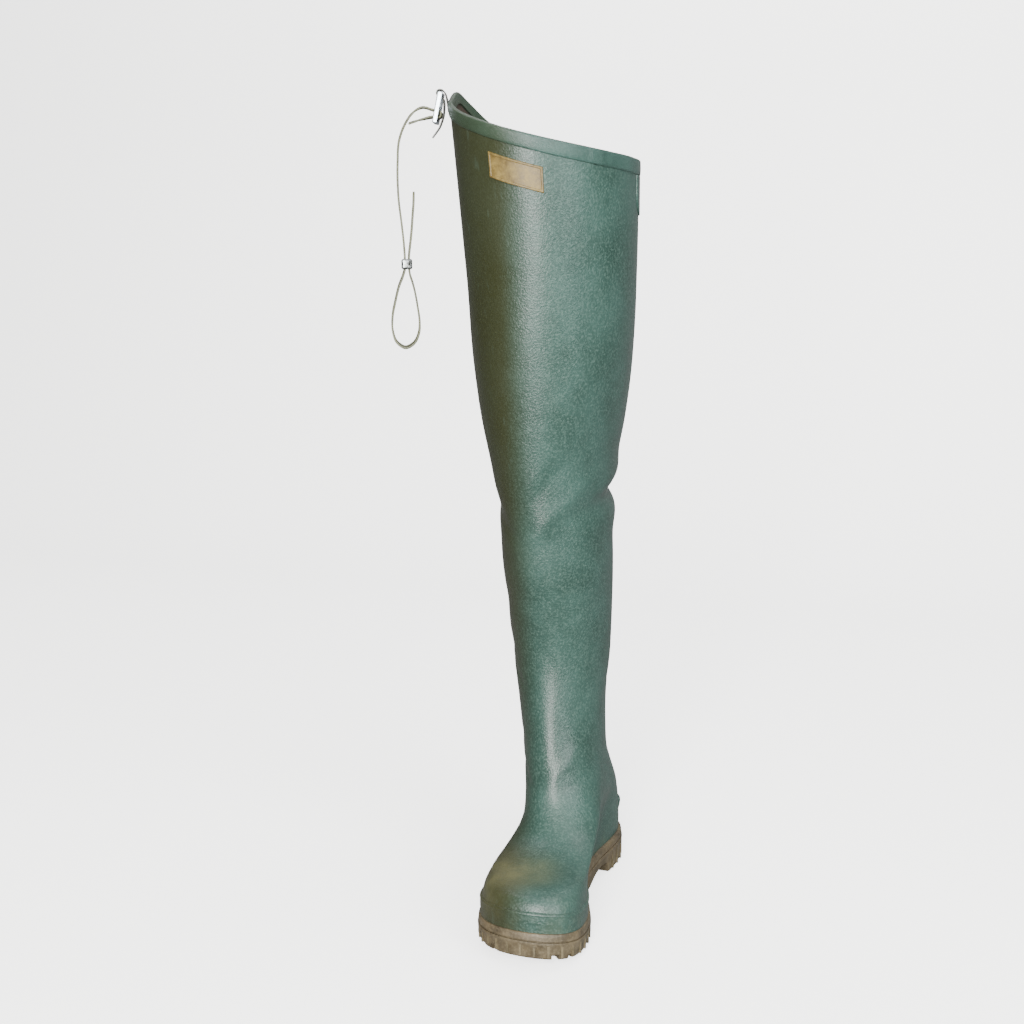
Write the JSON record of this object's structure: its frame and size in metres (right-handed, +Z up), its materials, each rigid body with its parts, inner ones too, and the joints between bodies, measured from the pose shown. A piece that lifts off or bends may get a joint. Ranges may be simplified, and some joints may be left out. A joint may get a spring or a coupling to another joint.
{
  "type": "hip wader",
  "caption": "Right thigh-high rubber hip wader with a lugged sole, peaked collar, waist strap, slide buckle and strap keeper.",
  "frame": {"origin": "On the floor under the middle of the heel, on the lug between the first two heel channels.", "axes": "+Z is up along the leg, the toe points along -Y, the outer side of this right boot is -X and the inner side is +X."},
  "size_m": [0.2423, 0.3294, 0.8277],
  "materials": {
    "upper_rubber": "matt dark green rubber with a fine pebbled grain",
    "sole_rubber": "matt olive brown moulded rubber",
    "insole_felt": "dull brown felt",
    "binding_rubber": "smooth dark green rubber",
    "patch_rubber": "matt dark green rubber",
    "plate_rubber": "satin gold tinted rubber, blank",
    "steel": "dull nickel plated steel",
    "strap_rubber": "matt olive rubber strap",
    "hanger_rubber": "matt near-black rubber"
  },
  "bodies": {
    "root": {"upper": "upper_rubber", "outsole": "sole_rubber", "insole": "insole_felt", "collar_binding": "binding_rubber", "inner_patch": "patch_rubber", "outer_patch": "patch_rubber", "name_plate": "plate_rubber", "heel_spur": "upper_rubber", "buckle": "steel", "strap_keeper": "steel", "strap": "strap_rubber", "strap_hanger": "hanger_rubber"}
  },
  "joints": []
}
